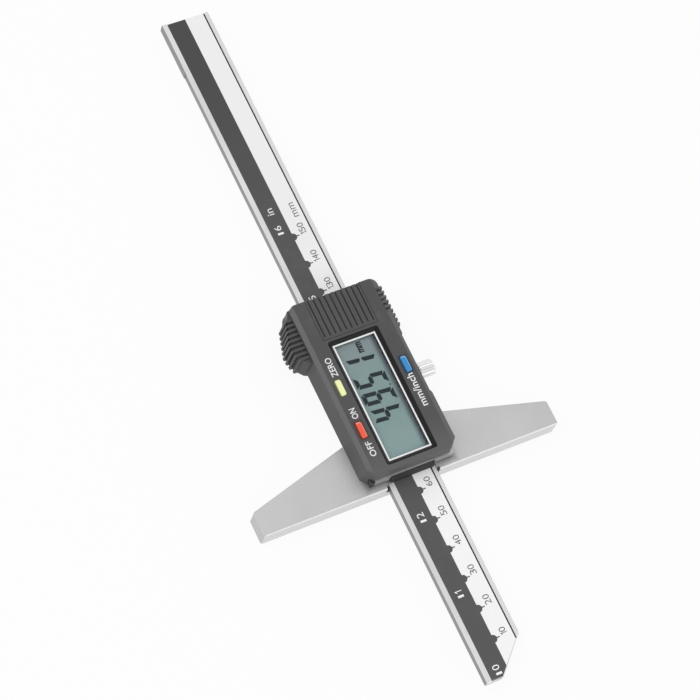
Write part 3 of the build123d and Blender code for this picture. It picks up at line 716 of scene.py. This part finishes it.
class GaugeDisplaySettings(bpy.types.PropertyGroup):
    """Liquid crystal display."""

    glass_tone: tone_setting("Display", "Colour of the unlit display", (0.235, 0.335, 0.335))
    shade_tone: tone_setting("Display edge", "Colour of the display along its shaded edge",
                             (0.055, 0.065, 0.085))
    segment_tone: tone_setting("Segments", "Colour of the dark segments",
                               (0.008, 0.016, 0.020))
    digit_pitch: number_setting("Digit pitch", "Distance from digit to digit", 5.8 * MM, **LENGTH)
    digit_height: number_setting("Digit height", "Height of the digits", 10.4 * MM, **LENGTH)
    digit_width: number_setting("Digit width", "Width of the digits", 4.15 * MM, **LENGTH)
    stroke: number_setting("Stroke", "Width of a segment", 1.35 * MM, **LENGTH)
    slant: number_setting("Slant", "Lean of the digits", math.radians(5.0), subtype="ANGLE")


class GaugeButtonSettings(bpy.types.PropertyGroup):
    """Push buttons and the words beside them."""

    zero_tone: tone_setting("Zero button", "Colour of the zero button", (0.90, 0.97, 0.47))
    power_tone: tone_setting("Power button", "Colour of the power button", (0.89, 0.105, 0.045))
    units_tone: tone_setting("Units button", "Colour of the units button",
                             (0.022, 0.265, 0.64))
    word_tone: tone_setting("Words", "Colour of the printed words", (0.86, 0.86, 0.86))


class GaugeInnerSettings(bpy.types.PropertyGroup):
    """What the case hides."""

    board_tone: tone_setting("Boards", "Colour of the circuit boards", (0.03, 0.16, 0.07))
    brass_tone: tone_setting("Brass", "Colour of gib, pad and contacts", (0.72, 0.56, 0.28))


# ---- operators
class GaugeAddStage(bpy.types.Operator):
    """Adds the floor, the soft lights, the room light and the camera"""

    bl_idname = "scene.gauge_add_stage"
    bl_label = "Add stage"

    def execute(self, context):
        scene = context.scene
        settings = scene.gauge_stage
        scene.view_settings.view_transform = "Standard"
        self.add_floor(settings)
        self.add_room(scene, settings)
        for name, power, place, size in LAMPS:
            self.add_lamp(name, getattr(settings, power), place, size)
        self.add_camera(scene, settings)
        return {"FINISHED"}

    def add_floor(self, settings):
        """White floor that still shows a little of the shadow on it."""
        far = FLOOR_REACH
        mesh = plate_mesh([[(-far, -far), (far, -far), (far, far), (-far, far)]],
                          FRAME_LOW.z - FLOOR_DEPTH, FRAME_LOW.z)
        floor = add_object("floor", mesh)
        material = bpy.data.materials.new("floor_paper")
        material.use_nodes = True
        tree = material.node_tree
        tree.nodes.clear()
        out = tree.nodes.new("ShaderNodeOutputMaterial")
        paper = add_node(tree, "ShaderNodeBsdfDiffuse", Color=(*settings.floor_tone, 1.0))
        glow = add_node(tree, "ShaderNodeEmission", Color=WHITE, Strength=1.0)
        share = add_math(tree, "MULTIPLY", seen_rays(tree), 1.0 - settings.shadow_share)
        mix = tree.nodes.new("ShaderNodeMixShader")
        tree.links.new(share, mix.inputs[0])
        tree.links.new(paper.outputs[0], mix.inputs[1])
        tree.links.new(glow.outputs[0], mix.inputs[2])
        tree.links.new(mix.outputs[0], out.inputs["Surface"])
        mesh.materials.append(material)

    def add_room(self, scene, settings):
        """Even light from all round, and a white background."""
        world = bpy.data.worlds.new("room")
        world.use_nodes = True
        tree = world.node_tree
        back = tree.nodes["Background"]
        lift = add_math(tree, "MULTIPLY", seen_rays(tree), 1.0 - settings.room_level)
        put(tree, back.inputs["Strength"], add_math(tree, "ADD", lift, settings.room_level))
        put(tree, back.inputs["Color"], WHITE)
        scene.world = world

    def add_lamp(self, name, power, place, size):
        """Square lamp that faces the origin."""
        data = bpy.data.lights.new(name, "AREA")
        data.energy = power
        data.shape = "SQUARE"
        data.size = size
        lamp = add_object(name, data)
        lamp.location = place
        lamp.rotation_euler = (-Vector(place)).to_track_quat("-Z", "Y").to_euler()

    def add_camera(self, scene, settings):
        """Camera that looks down on the gauge from the left of the beam's tip."""
        data = bpy.data.cameras.new("camera")
        data.lens = settings.lens
        data.sensor_width = SENSOR_WIDTH
        camera = add_object("camera", data)
        camera.location = CAMERA_PLACE
        camera.rotation_euler = [math.radians(angle) for angle in CAMERA_DEGREES]
        scene.camera = camera


class GaugeFinishSteel(bpy.types.Operator):
    """Gives the frame, the beam, the chassis and the screws their metal finishes"""

    bl_idname = "object.gauge_finish_steel"
    bl_label = "Finish steel"

    def execute(self, context):
        settings = context.scene.gauge_steel
        frame_tone = settings.frame_tone
        low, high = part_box("chassis_plate")
        # Painted contact shadow on the frame round the chassis, where the case stands on it
        painted_contact_shadow = halo_wash(low, high, CONTACT_SHADOW_REACH, FRAME_HIGH.z - 0.05 * MM,
                          scaled(frame_tone, settings.corner_share))
        # Lighter measuring face: partly its lapped finish, partly painted light on the front wall
        lapped = fade_wash(TO_TIP, *LAPPED_AND_LIT_EDGE, settings.lapped_tone)
        paint(["t_frame"], make_finish(
            "ground_frame_steel", shades(frame_tone, 0.93, 1.07), metallic=0.85,
            roughness=settings.frame_roughness, spread=0.2, grain=2600.0, patch=45.0,
            bump=0.25, depth=0.012, wear=0.25, washes=[painted_contact_shadow, lapped]))
        # Painted shade along the chassis's left edge, where the case's corner shades it
        edge = fade_wash(LEFT, *(-low.x - inset for inset in CHASSIS_SHADED_EDGE), settings.edge_tone)
        # Painted contact shadow along the chassis's foot, where it meets the frame
        foot = rim_wash(-MM, low.z - MM, low.z + CHASSIS_FOOT_SHADOW, settings.foot_tone)
        paint(["chassis_plate"], make_finish(
            "satin_chassis", ((0.47, 0.47, 0.472), (0.60, 0.60, 0.602)), metallic=0.8,
            roughness=0.42, grain=3400.0, stretch=(0.05, 1.0, 1.0), washes=[edge, foot]))
        low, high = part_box("beam")
        # Painted shade on the beam's side walls, standing in for their dark reflection
        walls = rim_wash(high.x - 0.03 * MM, low.z - MM, high.z + MM, settings.wall_tone)
        paint(["beam"], make_finish(
            "ground_beam_steel", shades(settings.beam_tone, 0.9, 1.08), metallic=0.85,
            roughness=0.4, grain=5200.0, stretch=(1.0, 0.03, 1.0), bump=0.2, depth=0.01,
            wear=0.2, washes=[walls]))
        paint(["lock_screw"], make_finish(
            "plated_lock_screw", shades(settings.bright_tone, 0.92, 1.0), metallic=0.9,
            roughness=0.3, grain=4000.0, stretch=(0.1, 1.0, 1.0), depth=0.008))
        paint([f"module_screw_{number}" for number in range(1, 5)], make_finish(
            "plated_screws", ((0.42, 0.42, 0.43), (0.55, 0.55, 0.56)), metallic=1.0,
            roughness=0.34, grain=5000.0, depth=0.006))
        paint(["gib_screw_1", "gib_screw_2"], make_finish(
            "dark_set_screws", ((0.09, 0.09, 0.095), (0.16, 0.16, 0.165)), metallic=0.9,
            roughness=0.4, grain=5000.0, depth=0.006))
        return {"FINISHED"}


class GaugeFinishMoulding(bpy.types.Operator):
    """Gives the moulded case, the battery door and the dark trim their finishes"""

    bl_idname = "object.gauge_finish_moulding"
    bl_label = "Finish moulding"

    def execute(self, context):
        settings = context.scene.gauge_moulding
        self.finish_case(settings, context.scene.gauge_buttons)
        self.finish_border(settings)
        paint(["beam_wiper"], make_finish(
            "wiper_rubber", ((0.018, 0.018, 0.018), (0.032, 0.032, 0.032)), roughness=0.75))
        paint(["battery_tray", "board_link"], make_finish(
            "tray_plastic", ((0.025, 0.025, 0.026), (0.04, 0.04, 0.041)), roughness=0.5))
        return {"FINISHED"}

    def finish_case(self, settings, buttons):
        """Case with painted light on its bevel and base end, painted shade in its grooves and a
        painted shade halo, tinted by the cap, round each button; and the door, with painted shade
        in its grooves.
        """
        case = settings.case_tone
        # Painted shade in the gaps between the grip's fins
        groove_shade_tone = scaled(case, settings.groove_share)
        # Painted reflection: the case grows lighter towards its end at the base
        case_washes = [fade_wash(TO_TIP, *BASE_END, scaled(case, BASE_END_LIGHT_GAIN)),
                       # Painted light on the bevel, which faces the lamp
                       rim_wash(BEVEL_INSIDE, BEVEL_LOW, BEVEL_HIGH, settings.bevel_tone),
                       ("groove_mask", FIN_GAPS, groove_shade_tone)]
        # Painted shade round each button on the case, tinted with a painted reflection of the
        # cap's colour
        for name in BUTTONS:
            cap = getattr(buttons, f"{name}_tone")
            painted_halo_shade = tuple(HALO_CASE * dark + HALO_CAP * bright
                         for dark, bright in zip(case, cap))
            case_washes.append(halo_wash(*cap_box(f"button_{name}"), BUTTON_HALO_SHADE,
                                         HOUSING_HIGH.z - MM, painted_halo_shade))
        door_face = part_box("battery_door")[1].z
        # Painted shade in the door's grooves
        door_washes = [rim_wash(-MM, 0.0, door_face - 0.06 * MM, groove_shade_tone)]
        for name, washes in (("front_housing", case_washes), ("battery_door", door_washes)):
            paint([name], make_finish(
                f"{name}_plastic", shades(case, 0.9, 1.1), roughness=settings.case_roughness,
                spread=0.2, grain=4200.0, patch=70.0, bump=0.35, depth=0.015, wear=0.12,
                specular=0.4, washes=washes))

    def finish_border(self, settings):
        """Black border of the display, with the paler short walls under its white line."""
        border = settings.bezel_tone
        line_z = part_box("display_line")[0].z
        window_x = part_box("display_lens")[1].x + 0.03 * MM
        washes = [rim_wash(-MM, 0.0, line_z - 0.02 * MM, settings.well_tone),
                  rim_wash(window_x, 0.0, line_z, border)]
        paint(["display_bezel"], make_finish(
            "border_plastic", shades(border, 0.8, 1.3), roughness=0.35, grain=3000.0,
            depth=0.006, wear=0.05, specular=0.15, washes=washes))


class GaugePrintScale(bpy.types.Operator):
    """Prints the bands, the marks and the figures on the beam's scale"""

    bl_idname = "object.gauge_print_scale"
    bl_label = "Print scale"

    def execute(self, context):
        settings = context.scene.gauge_scale
        # The film grows darker towards its tail
        film = make_finish(
            "white_film", shades(settings.white_tone, 0.97, 1.02), roughness=0.42,
            grain=1800.0, patch=30.0, depth=0.004, wear=0.05,
            washes=[fade_wash(TO_TAIL, *FILM_TAIL,
                              scaled(settings.white_tone, FILM_TAIL_GAIN))])
        # Painted reflection gradient: the dark band grows darker towards its tail
        band = make_finish(
            "dark_ink", shades(settings.dark_tone, 0.92, 1.1), roughness=0.45, grain=2400.0,
            patch=50.0, depth=0.004, wear=0.12,
            washes=[fade_wash(TO_TAIL, *BAND_TAIL,
                              scaled(settings.dark_tone, BAND_TAIL_SHADE_GAIN))])
        figures = make_finish(
            "figure_ink", shades(settings.figure_tone, 0.95, 1.05), roughness=0.5,
            grain=2400.0, depth=0.002, wear=0.0)
        paint(["scale_label"], film)
        paint(["scale_board"], make_finish(
            "scale_board_lacquer", ((0.05, 0.10, 0.05), (0.07, 0.13, 0.06)), roughness=0.4))
        self.add_bands(settings, band)
        self.add_marks(settings, band, film)
        self.add_figures(figures, film)
        return {"FINISHED"}

    def add_bands(self, settings, band):
        """Dark band cut along the tip's bevel, and a dark sheet of painted shadow in the gap
        beside the film.
        """
        low, high = LABEL_LOW, LABEL_HIGH
        corner = max(v.co.x for v in NODES["scale_label"].data.vertices
                     if v.co.y < low.y + 0.01 * MM)
        edge = settings.band_edge
        outline = [(low.x, low.y), (corner, low.y), (edge, low.y + edge - corner),
                   (edge, high.y), (low.x, high.y)]
        add_piece("scale_dark_band", plate_mesh([outline], high.z, high.z + 2 * INK), band,
                  "sliding_beam")
        # A dark sheet of painted shadow fills the gap between the film and the beam's rim
        joint_end = high.x + GAP_SHADOW_WIDTH
        start = low.y + joint_end - corner
        joint = [(high.x, start), (joint_end, start), (joint_end, high.y), (high.x, high.y)]
        shade = make_finish("joint_shadow", ((0.012, 0.012, 0.012), (0.02, 0.02, 0.02)),
                            roughness=0.9)
        board_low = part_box("scale_board")[0].z
        add_piece("scale_joint", plate_mesh([joint], board_low + INK, high.z - 0.1 * MM),
                  shade, "sliding_beam")

    def add_marks(self, settings, band, film):
        """Rounded marks every ten millimetres and light bars every inch."""
        top = LABEL_HIGH.z
        marks = grown_mesh(build_mark_row(), {
            "Count": LAST_READING // 10,
            "Start": (settings.band_edge, PRINTED_ZERO + 10 * MM, top + INK * 0.9),
            "Pitch": 10 * MM, "Bump Radius": settings.bump_radius,
            "Tick Length": settings.tick_length, "Tick Width": settings.tick_width,
            "Thickness": INK * 1.8, "Material": band})
        add_piece("millimetre_marks", marks, band, "sliding_beam")
        bars = grown_mesh(build_bar_row(), {
            "Count": INCH_COUNT, "Start": (INCH_BAR_X, PRINTED_ZERO, top + 2.5 * INK),
            "Pitch": INCH, "Bar Size": INCH_BAR_SIZE, "Material": film})
        add_piece("inch_marks", bars, film, "sliding_beam")

    def add_figures(self, figures, film):
        """Millimetre figures on the light band and inch figures on the dark band."""
        z = LABEL_HIGH.z
        meshes = []
        for reading in range(10, LAST_READING + 1, 10):
            start = PRINTED_ZERO + reading * MM - (HUNDREDS_BACK if reading >= 100 else 0.0)
            meshes += figure_meshes(reading, MM_COLUMN, start + MM_FIGURE_AHEAD, MM_FIGURE, z)
        meshes.append(sign_mesh(MM_SIGN, PRINTED_ZERO, z))
        add_piece("millimetre_figures", join_meshes(meshes), figures, "sliding_beam")
        z += 2 * INK
        meshes = []
        for reading in range(INCH_COUNT):
            start = PRINTED_ZERO + reading * INCH + INCH_FIGURE_AHEAD
            meshes += figure_meshes(reading, INCH_COLUMN, start, INCH_FIGURE, z)
        meshes.append(sign_mesh(INCH_SIGN, PRINTED_ZERO, z))
        add_piece("inch_figures", join_meshes(meshes), film, "sliding_beam")


class GaugeMakeDisplay(bpy.types.Operator):
    """Makes the display's glass, digits, unit sign, white line and clear window"""

    bl_idname = "object.gauge_make_display"
    bl_label = "Make display"

    def execute(self, context):
        settings = context.scene.gauge_display
        glass = settings.glass_tone
        # Greyer painted shade on the display towards its far end
        painted_far_shade = fade_wash(TO_TAIL, *GLASS_FAR, GLASS_FAR_SHADE_TONE)
        # Painted light on the display towards its near end
        painted_near_light = fade_wash(TO_TIP, *GLASS_NEAR, scaled(glass, GLASS_NEAR_LIGHT_GAIN))
        side = fade_wash(RIGHT, *GLASS_SIDE, settings.shade_tone)
        paint(["lcd_panel"], make_finish(
            "display_glass", shades(glass, 0.96, 1.06), roughness=0.35, grain=900.0,
            patch=18.0, bump=0.05, depth=0.003, wear=0.0, specular=0.2,
            washes=[painted_far_shade, painted_near_light, side]))
        paint(["display_line"], make_finish(
            "white_line_ink", ((0.95, 0.96, 0.96), (0.98, 0.98, 0.98)), roughness=0.45,
            depth=0.003))
        paint(["display_lens"], make_finish(
            "window_clear", ((0.62, 0.68, 0.69), (0.66, 0.72, 0.73)), roughness=0.08,
            spread=0.1, bump=0.03, depth=0.002, wear=0.1, alpha=0.04, specular=0.2))
        self.add_digits(settings, make_finish(
            "segment_ink", shades(settings.segment_tone, 1.0, 1.3), roughness=0.5, bump=0.02,
            depth=0.002, wear=0.0, specular=0.02))
        return {"FINISHED"}

    def add_digits(self, settings, ink):
        """Digits 49.51 with their point, and the unit sign."""
        z = LCD_HIGH.z
        lean = math.tan(settings.slant)

        def place(points, start):
            """Digit's own (right, up) to the frame: right is +Y, up is -X."""
            return [(DIGITS_FOOT_X - up, start + right + up * lean) for right, up in points]

        outlines = []
        for index, figure in enumerate(DIGITS):
            start = DIGITS_START_Y + index * settings.digit_pitch
            for which in SEGMENTS[figure]:
                outlines.append(place(segment_outline(
                    which, settings.digit_width, settings.digit_height, settings.stroke), start))
        turns = [math.tau * corner / POINT_CORNERS for corner in range(POINT_CORNERS)]
        point = [(POINT_RADIUS * math.cos(turn), POINT_RADIUS * math.sin(turn) + POINT_RADIUS)
                 for turn in turns]
        outlines.append(place(point, DIGITS_START_Y - POINT_BACK
                              + DIGITS_BEFORE_POINT * settings.digit_pitch))
        digits = plate_mesh(outlines, z, z + 2 * INK)
        sign = sign_mesh(UNIT_SIGN, 0.0, z, weight=0.05)
        add_piece("display_digits", join_meshes([digits, sign]), ink, "gauge_frame")


class GaugeMakeButtons(bpy.types.Operator):
    """Colours the push buttons and prints the words beside them"""

    bl_idname = "object.gauge_make_buttons"
    bl_label = "Make buttons"

    def execute(self, context):
        settings = context.scene.gauge_buttons
        for name in BUTTONS:
            tone = getattr(settings, f"{name}_tone")
            lit = tuple((1.0 - LIT_WHITE) * channel + LIT_WHITE for channel in tone)
            low, high = cap_box(f"button_{name}")
            washes = [fade_wash(TO_TAIL, *(high.y - inset for inset in LIT_END), lit),
                      fade_wash(RIGHT, *(high.x - inset for inset in LIT_SIDE), lit),
                      fade_wash(LEFT, *(-low.x - inset for inset in SHADED_SIDE),
                                scaled(tone, SHADED_GAIN))]
            paint([f"button_{name}"], make_finish(
                f"{name}_cap", shades(tone, 0.94, 1.06), roughness=0.42, grain=2600.0,
                depth=0.006, wear=0.1, washes=washes))
        ink = make_finish("word_ink", shades(settings.word_tone, 0.96, 1.02), roughness=0.5,
                          depth=0.002, wear=0.0)
        meshes = [words_mesh(words, *(edge * MM for edge in box), HOUSING_HIGH.z, weight=0.012)
                  for words, *box in BUTTON_WORDS]
        add_piece("button_words", join_meshes(meshes), ink, "gauge_frame")
        return {"FINISHED"}


class GaugeFinishInside(bpy.types.Operator):
    """Gives the boards, the battery, the contacts and the brass pieces their finishes"""

    bl_idname = "object.gauge_finish_inside"
    bl_label = "Finish inside"

    def execute(self, context):
        settings = context.scene.gauge_inner
        paint(["main_board", "sensor_board"], make_finish(
            "board_lacquer", shades(settings.board_tone, 0.9, 1.15), roughness=0.3,
            grain=1500.0))
        paint(["gib_strip", "lock_pad", "battery_contact", "battery_side_contact"], make_finish(
            "turned_brass", shades(settings.brass_tone, 0.92, 1.06), metallic=0.9,
            roughness=0.32, grain=4000.0, stretch=(1.0, 0.05, 1.0)))
        paint(["battery_cell"], make_finish(
            "cell_steel", ((0.70, 0.70, 0.69), (0.80, 0.80, 0.79)), metallic=1.0,
            roughness=0.22, grain=3000.0, depth=0.005))
        paint(["zebra_left", "zebra_right"], make_finish(
            "contact_rubber", ((0.40, 0.20, 0.24), (0.50, 0.27, 0.31)), roughness=0.7,
            grain=2000.0, stretch=(0.05, 1.0, 1.0)))
        paint([f"switch_dome_{name}" for name in BUTTONS], make_finish(
            "dome_steel", ((0.66, 0.66, 0.66), (0.76, 0.76, 0.76)), metallic=1.0,
            roughness=0.25))
        return {"FINISHED"}


class GaugePanel(bpy.types.Panel):
    """Sidebar panel that lists the steps"""

    bl_idname = "VIEW3D_PT_depth_gauge"
    bl_label = "Depth Gauge"
    bl_space_type = "VIEW_3D"
    bl_region_type = "UI"
    bl_category = "Depth Gauge"

    def draw(self, context):
        for operator, name, group in STEPS:
            box = self.layout.box()
            box.operator(operator.bl_idname)
            for setting in group.__annotations__:
                box.prop(getattr(context.scene, name), setting)


STEPS = (
    (GaugeAddStage, "gauge_stage", GaugeStageSettings),
    (GaugeFinishSteel, "gauge_steel", GaugeSteelSettings),
    (GaugeFinishMoulding, "gauge_moulding", GaugeMouldingSettings),
    (GaugePrintScale, "gauge_scale", GaugeScaleSettings),
    (GaugeMakeDisplay, "gauge_display", GaugeDisplaySettings),
    (GaugeMakeButtons, "gauge_buttons", GaugeButtonSettings),
    (GaugeFinishInside, "gauge_inner", GaugeInnerSettings),
)


def register():
    """Adds the settings, the steps and the panel."""
    for operator, name, group in STEPS:
        bpy.utils.register_class(group)
        setattr(bpy.types.Scene, name, bpy.props.PointerProperty(type=group))
        bpy.utils.register_class(operator)
    bpy.utils.register_class(GaugePanel)


def unregister():
    """Takes away what register adds."""
    bpy.utils.unregister_class(GaugePanel)
    for operator, name, group in reversed(STEPS):
        bpy.utils.unregister_class(operator)
        delattr(bpy.types.Scene, name)
        bpy.utils.unregister_class(group)


def main():
    """Runs every step in order."""
    register()
    for operator, *_ in STEPS:
        category, name = operator.bl_idname.split(".")
        getattr(getattr(bpy.ops, category), name)()


if __name__ == "__main__":
    main()
